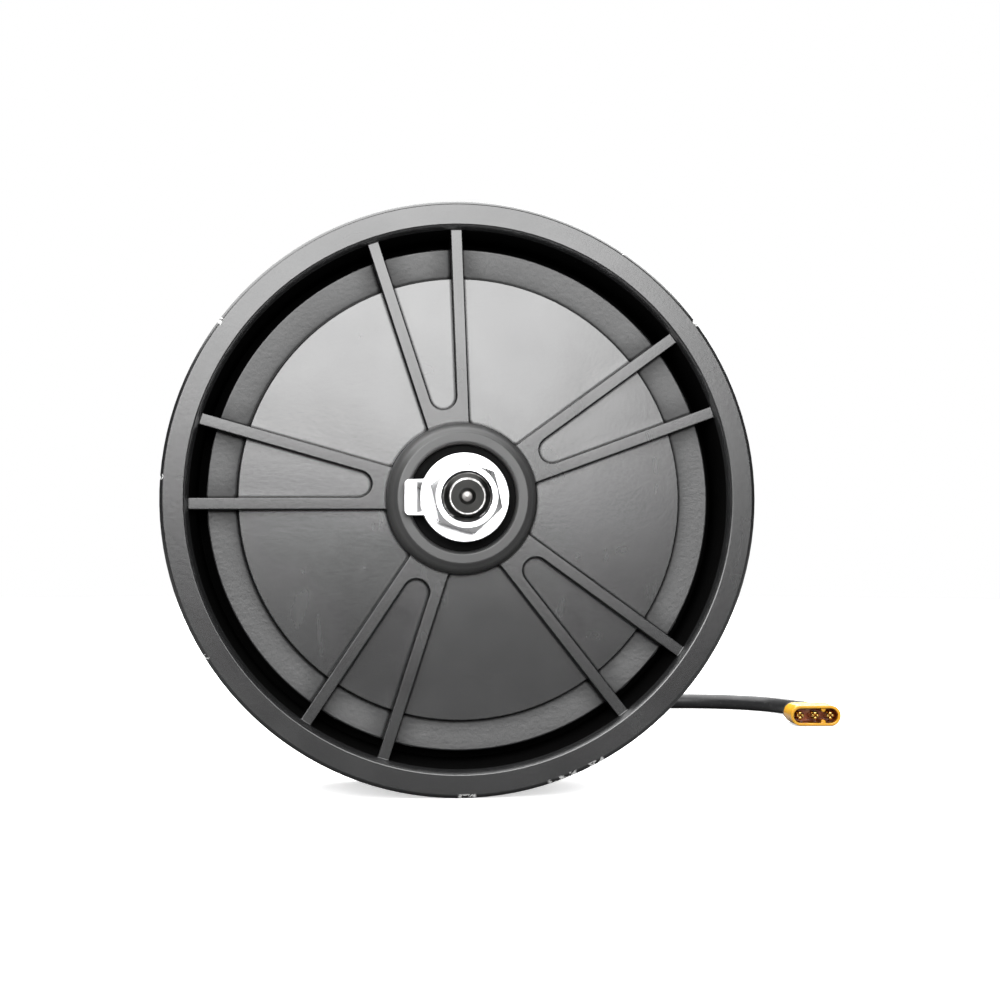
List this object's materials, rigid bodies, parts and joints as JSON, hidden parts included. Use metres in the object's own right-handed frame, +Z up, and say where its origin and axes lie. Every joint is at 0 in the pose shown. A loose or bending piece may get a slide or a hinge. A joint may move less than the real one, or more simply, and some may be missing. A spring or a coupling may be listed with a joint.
{
  "type": "hub motor wheel",
  "caption": "Bare cast rim with a built-in outrunner hub motor, threaded axle ends with tab washers and nuts, and a motor cable with a yellow bullet plug.",
  "frame": {"origin": "centre of the wheel on its axle", "axes": "+Y along the axle towards the cable side, +Z up; the closed ribbed face looks along -Y"},
  "size_m": [0.2702, 0.3351, 0.18],
  "materials": {
    "grey_casting_paint": "dark silver-grey paint, fine orange peel, semi-gloss",
    "grey_cover_paint": "dark silver-grey paint, semi-gloss",
    "gasket_fibre": "black gasket",
    "black_oxide_steel": "black oxide",
    "ring_steel": "turned steel, lightly oiled",
    "magnet_coat": "nickel plated magnets",
    "bearing_steel": "ground bearing steel",
    "cage_plastic": "glass-filled nylon",
    "seal_rubber": "black nitrile rubber",
    "zinc_steel": "bright zinc plate",
    "axle_steel": "blackened steel, bright on its ground seats and worn edges",
    "spider_aluminium": "machined aluminium",
    "lamination_steel": "stacked electrical steel",
    "insulator_plastic": "moulded nylon",
    "enamelled_copper": "enamelled copper wire",
    "lead_insulation": "silicone lead insulation",
    "board_laminate": "green circuit board",
    "sensor_plastic": "black moulding compound",
    "boot_rubber": "black moulded rubber",
    "cable_jacket": "black cable jacket, satin",
    "black_plastic": "black nylon",
    "yellow_plastic": "yellow nylon, semi-gloss",
    "gold_plate": "gold plated brass"
  },
  "bodies": {
    "fixed": {"axle": "axle_steel", "stator_hub": "spider_aluminium", "stator_laminations": "lamination_steel", "front_end_insulator": "insulator_plastic", "rear_end_insulator": "insulator_plastic", "phase_a_windings": "enamelled_copper", "phase_b_windings": "enamelled_copper", "phase_c_windings": "enamelled_copper", "phase_leads": "lead_insulation", "hall_board": "board_laminate", "hall_sensors": "sensor_plastic", "front_bearing_inner_race": "bearing_steel", "rear_bearing_inner_race": "bearing_steel", "cable_boot": "boot_rubber", "motor_cable": "cable_jacket", "connector_sleeve": "boot_rubber", "connector_back": "black_plastic", "connector_shell": "yellow_plastic", "connector_pins": "gold_plate"},
    "wheel": {"wheel_casting": "grey_casting_paint", "side_cover": "grey_cover_paint", "cover_gasket": "gasket_fibre", "cover_screws": "black_oxide_steel", "flux_ring": "ring_steel", "magnets": "magnet_coat", "front_bearing_outer_race": "bearing_steel", "rear_bearing_outer_race": "bearing_steel", "front_shaft_seal": "seal_rubber", "rear_shaft_seal": "seal_rubber"},
    "front_ball_set": {"front_bearing_balls": "bearing_steel", "front_bearing_cage": "cage_plastic"},
    "rear_ball_set": {"rear_bearing_balls": "bearing_steel", "rear_bearing_cage": "cage_plastic"},
    "front_washer": {"front_tab_washer": "zinc_steel"},
    "rear_washer": {"rear_tab_washer": "zinc_steel"},
    "front_nut": {"front_axle_nut": "zinc_steel"},
    "rear_nut": {"rear_axle_nut": "zinc_steel"}
  },
  "joints": [
    {"name": "wheel_spin", "type": "hinge", "parent": "fixed", "child": "wheel", "pos_m": [0, 0, 0], "axis": [0, 1, 0], "continuous": true},
    {"name": "front_balls_roll", "type": "hinge", "parent": "fixed", "child": "front_ball_set", "pos_m": [0, -0.021, 0], "axis": [0, 1, 0], "continuous": true},
    {"name": "rear_balls_roll", "type": "hinge", "parent": "fixed", "child": "rear_ball_set", "pos_m": [0, 0.021, 0], "axis": [0, 1, 0], "continuous": true},
    {"name": "front_washer_travel", "type": "slide", "parent": "fixed", "child": "front_washer", "axis": [0, -1, 0], "range_m": [0, 0.027]},
    {"name": "front_nut_turn", "type": "hinge", "parent": "front_washer", "child": "front_nut", "pos_m": [0, -0.0403, 0], "axis": [0, -1, 0], "range_deg": [0, 6480]},
    {"name": "rear_washer_travel", "type": "slide", "parent": "fixed", "child": "rear_washer", "axis": [0, 1, 0], "range_m": [0, 0.027]},
    {"name": "rear_nut_turn", "type": "hinge", "parent": "rear_washer", "child": "rear_nut", "pos_m": [0, 0.0403, 0], "axis": [0, 1, 0], "range_deg": [0, 6480]}
  ],
  "couplings": [
    {"joint": "front_balls_roll", "follows": "wheel_spin", "ratio": 0.5979},
    {"joint": "rear_balls_roll", "follows": "wheel_spin", "ratio": 0.5979},
    {"joint": "front_washer_travel", "follows": "front_nut_turn", "m_per_rad": 0.00023873},
    {"joint": "rear_washer_travel", "follows": "rear_nut_turn", "m_per_rad": 0.00023873}
  ]
}
